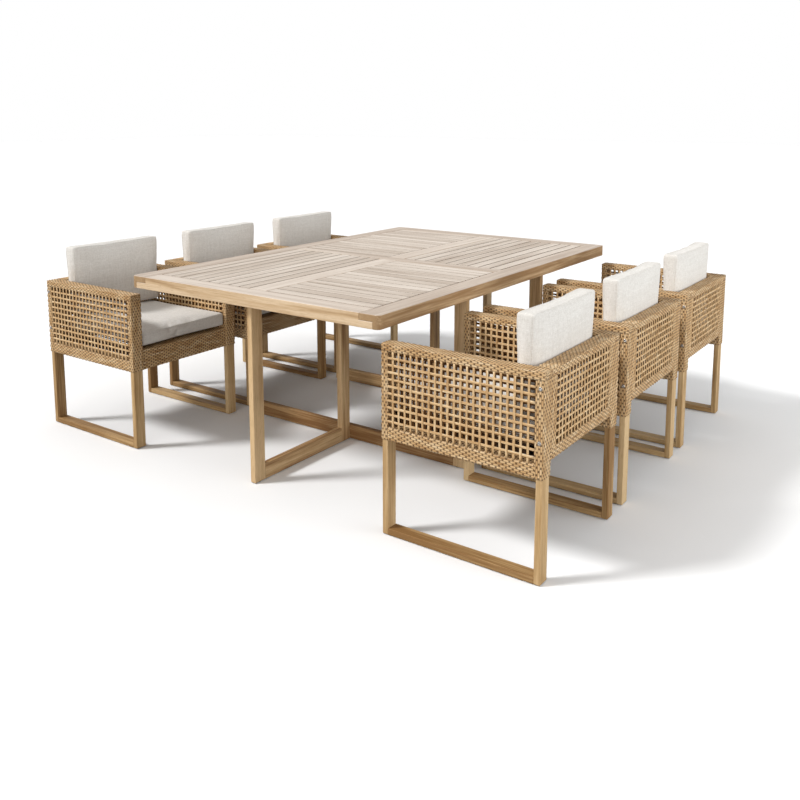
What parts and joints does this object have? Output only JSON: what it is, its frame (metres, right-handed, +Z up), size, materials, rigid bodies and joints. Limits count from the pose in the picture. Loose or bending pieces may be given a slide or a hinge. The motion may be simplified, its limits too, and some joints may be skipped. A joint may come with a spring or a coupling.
{
  "type": "patio dining set",
  "caption": "Slatted hardwood dining table on two T-shaped sled pedestals, with woven lattice armchairs on sled legs and loose box cushions.",
  "frame": {"origin": "on the floor under the middle of the table", "axes": "+X along the table, +Y across it, +Z up; the chairs stand along the two long sides and face the table"},
  "size_m": [1.9152, 2.46, 0.8166],
  "materials": {
    "top_wood": "pale brushed acacia, matt",
    "base_wood": "oiled acacia, satin",
    "chair_wood": "oiled acacia, satin",
    "woven_strands": "woven resin strands, straw and honey mixed",
    "tube_aluminium": "brown powder coat",
    "cushion_cloth": "off-white woven outdoor cloth",
    "glide_plastic": "black moulded plastic",
    "bolt_steel": "bright stainless steel"
  },
  "bodies": {
    "table": {"table_long_rails": "top_wood", "table_end_rails": "top_wood", "table_cross_beam": "top_wood", "table_centre_beams": "top_wood", "table_lengthwise_slats": "top_wood", "table_crosswise_slats": "top_wood", "table_battens": "base_wood", "table_long_frames": "base_wood", "table_cross_frames": "base_wood", "table_glides": "glide_plastic", "table_fasteners": "bolt_steel"},
    "chair1": {"chair1_leg_frame": "chair_wood", "chair1_inner_frame": "tube_aluminium", "chair1_arm_weave": "woven_strands", "chair1_back_weave": "woven_strands", "chair1_seat_weave": "woven_strands", "chair1_fittings": "bolt_steel"},
    "chair1_seat_pad": {"chair1_seat_cushion": "cushion_cloth"},
    "chair1_back_pad": {"chair1_back_cushion": "cushion_cloth"},
    "chair2": {"chair2_leg_frame": "chair_wood", "chair2_inner_frame": "tube_aluminium", "chair2_arm_weave": "woven_strands", "chair2_back_weave": "woven_strands", "chair2_seat_weave": "woven_strands", "chair2_fittings": "bolt_steel"},
    "chair2_seat_pad": {"chair2_seat_cushion": "cushion_cloth"},
    "chair2_back_pad": {"chair2_back_cushion": "cushion_cloth"},
    "chair3": {"chair3_leg_frame": "chair_wood", "chair3_inner_frame": "tube_aluminium", "chair3_arm_weave": "woven_strands", "chair3_back_weave": "woven_strands", "chair3_seat_weave": "woven_strands", "chair3_fittings": "bolt_steel"},
    "chair3_seat_pad": {"chair3_seat_cushion": "cushion_cloth"},
    "chair3_back_pad": {"chair3_back_cushion": "cushion_cloth"},
    "chair4": {"chair4_leg_frame": "chair_wood", "chair4_inner_frame": "tube_aluminium", "chair4_arm_weave": "woven_strands", "chair4_back_weave": "woven_strands", "chair4_seat_weave": "woven_strands", "chair4_fittings": "bolt_steel"},
    "chair4_seat_pad": {"chair4_seat_cushion": "cushion_cloth"},
    "chair4_back_pad": {"chair4_back_cushion": "cushion_cloth"},
    "chair5": {"chair5_leg_frame": "chair_wood", "chair5_inner_frame": "tube_aluminium", "chair5_arm_weave": "woven_strands", "chair5_back_weave": "woven_strands", "chair5_seat_weave": "woven_strands", "chair5_fittings": "bolt_steel"},
    "chair5_seat_pad": {"chair5_seat_cushion": "cushion_cloth"},
    "chair5_back_pad": {"chair5_back_cushion": "cushion_cloth"},
    "chair6": {"chair6_leg_frame": "chair_wood", "chair6_inner_frame": "tube_aluminium", "chair6_arm_weave": "woven_strands", "chair6_back_weave": "woven_strands", "chair6_seat_weave": "woven_strands", "chair6_fittings": "bolt_steel"},
    "chair6_seat_pad": {"chair6_seat_cushion": "cushion_cloth"},
    "chair6_back_pad": {"chair6_back_cushion": "cushion_cloth"}
  },
  "joints": [
    {"name": "chair1_slide", "type": "slide", "parent": "table", "child": "chair1", "axis": [0, -1, 0], "range_m": [-0.45, 0.5]},
    {"name": "chair1_seat_lift", "type": "slide", "parent": "chair1", "child": "chair1_seat_pad", "axis": [0, 0, 1], "range_m": [0, 0.2]},
    {"name": "chair1_back_lift", "type": "slide", "parent": "chair1_seat_pad", "child": "chair1_back_pad", "axis": [0, 0, 1], "range_m": [0, 0.3]},
    {"name": "chair2_slide", "type": "slide", "parent": "table", "child": "chair2", "axis": [0, -1, 0], "range_m": [-0.45, 0.5]},
    {"name": "chair2_seat_lift", "type": "slide", "parent": "chair2", "child": "chair2_seat_pad", "axis": [0, 0, 1], "range_m": [0, 0.2]},
    {"name": "chair2_back_lift", "type": "slide", "parent": "chair2_seat_pad", "child": "chair2_back_pad", "axis": [0, 0, 1], "range_m": [0, 0.3]},
    {"name": "chair3_slide", "type": "slide", "parent": "table", "child": "chair3", "axis": [0, -1, 0], "range_m": [-0.45, 0.5]},
    {"name": "chair3_seat_lift", "type": "slide", "parent": "chair3", "child": "chair3_seat_pad", "axis": [0, 0, 1], "range_m": [0, 0.2]},
    {"name": "chair3_back_lift", "type": "slide", "parent": "chair3_seat_pad", "child": "chair3_back_pad", "axis": [0, 0, 1], "range_m": [0, 0.3]},
    {"name": "chair4_slide", "type": "slide", "parent": "table", "child": "chair4", "axis": [0, 1, 0], "range_m": [-0.45, 0.5]},
    {"name": "chair4_seat_lift", "type": "slide", "parent": "chair4", "child": "chair4_seat_pad", "axis": [0, 0, 1], "range_m": [0, 0.2]},
    {"name": "chair4_back_lift", "type": "slide", "parent": "chair4_seat_pad", "child": "chair4_back_pad", "axis": [0, 0, 1], "range_m": [0, 0.3]},
    {"name": "chair5_slide", "type": "slide", "parent": "table", "child": "chair5", "axis": [0, 1, 0], "range_m": [-0.45, 0.5]},
    {"name": "chair5_seat_lift", "type": "slide", "parent": "chair5", "child": "chair5_seat_pad", "axis": [0, 0, 1], "range_m": [0, 0.2]},
    {"name": "chair5_back_lift", "type": "slide", "parent": "chair5_seat_pad", "child": "chair5_back_pad", "axis": [0, 0, 1], "range_m": [0, 0.3]},
    {"name": "chair6_slide", "type": "slide", "parent": "table", "child": "chair6", "axis": [0, 1, 0], "range_m": [-0.45, 0.5]},
    {"name": "chair6_seat_lift", "type": "slide", "parent": "chair6", "child": "chair6_seat_pad", "axis": [0, 0, 1], "range_m": [0, 0.2]},
    {"name": "chair6_back_lift", "type": "slide", "parent": "chair6_seat_pad", "child": "chair6_back_pad", "axis": [0, 0, 1], "range_m": [0, 0.3]}
  ]
}
